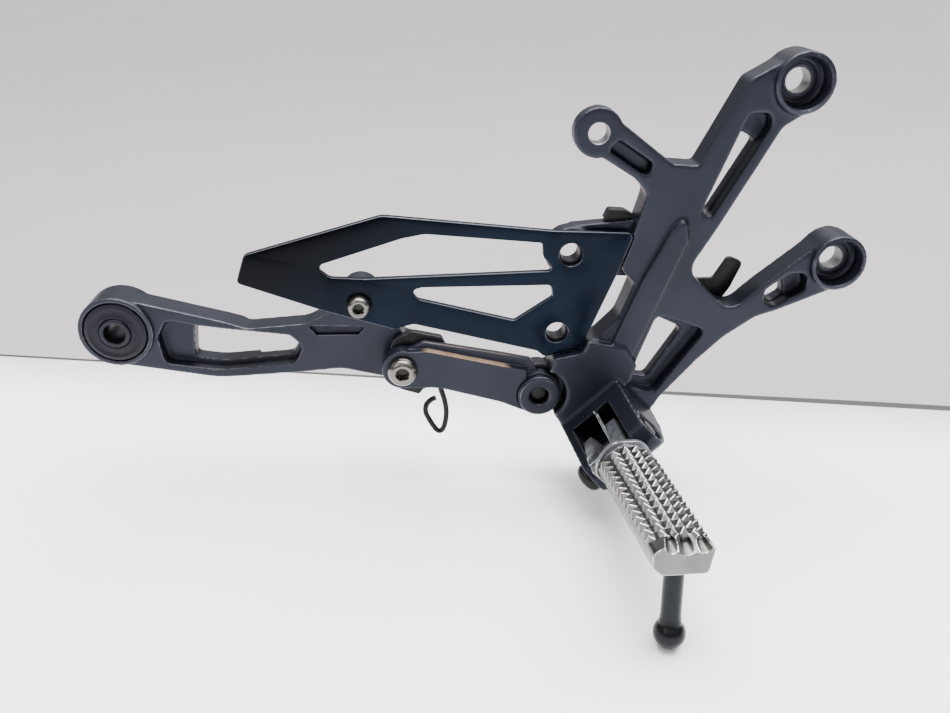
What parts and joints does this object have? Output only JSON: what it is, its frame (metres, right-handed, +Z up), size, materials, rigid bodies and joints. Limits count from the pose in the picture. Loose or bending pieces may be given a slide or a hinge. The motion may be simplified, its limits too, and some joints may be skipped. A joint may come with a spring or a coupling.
{
  "type": "foot peg",
  "caption": "Motorcycle rider foot peg assembly, right side: cast bracket, spring-loaded folding peg with feeler bolt, heel guard plate and exhaust hanger arm with rubber bush.",
  "frame": {"origin": "centre of the upper frame-bolt hole, on the mounting face of the bracket", "axes": "+X towards the front of the motorcycle, +Y inboard towards the frame, +Z up"},
  "size_m": [0.3584, 0.1517, 0.204],
  "materials": {
    "cast_bracket": "satin gunmetal coat on die-cast aluminium, rounded cast edges, worn at the high spots",
    "guard_plate": "smooth near-black navy satin plate with bright worn edges",
    "bush_rubber": "dull dark rubber",
    "bush_sleeve": "dulled dark steel sleeve",
    "hub_collar": "satin dark collar with a turned chamfer",
    "black_steel": "black powder coat",
    "screw_steel": "bright steel dome screws with grime in the sockets",
    "zinc": "bright zinc plate",
    "pin_steel": "dark, dirty pin steel",
    "peg_alloy": "bare forged aluminium with a light warm patina and sharp machined tread",
    "feeler_steel": "dark worn steel, brightly scuffed at the ball"
  },
  "bodies": {
    "frame": {"main_bracket": "cast_bracket", "heel_guard": "guard_plate", "hanger_arm": "cast_bracket", "bush_rubber": "bush_rubber", "bush_collar": "bush_sleeve", "hanger_link": "cast_bracket", "hub_collar": "hub_collar", "guide_plate": "black_steel", "hose_hook": "black_steel", "link_screw": "screw_steel", "link_nut": "zinc", "guard_screw": "screw_steel", "guard_nut": "zinc", "guard_spacer": "screw_steel", "hub_bolt": "zinc", "switch_stay": "black_steel", "stay_screw": "zinc", "stop_pad": "bush_rubber", "peg_pin": "pin_steel", "pin_washer": "zinc", "pin_clip": "zinc", "peg_spring": "zinc"},
    "peg": {"peg": "peg_alloy", "spring_plate": "zinc", "peg_feeler": "feeler_steel"}
  },
  "joints": [
    {"name": "peg_fold", "type": "hinge", "parent": "frame", "child": "peg", "pos_m": [-0.0723, -0.044, -0.15928], "axis": [-0.7071, 0, -0.7071], "range_deg": [0, 80], "stiffness_Nm_per_rad": 0.25, "springref_deg": -57.3, "deforming": ["peg_spring"]}
  ]
}
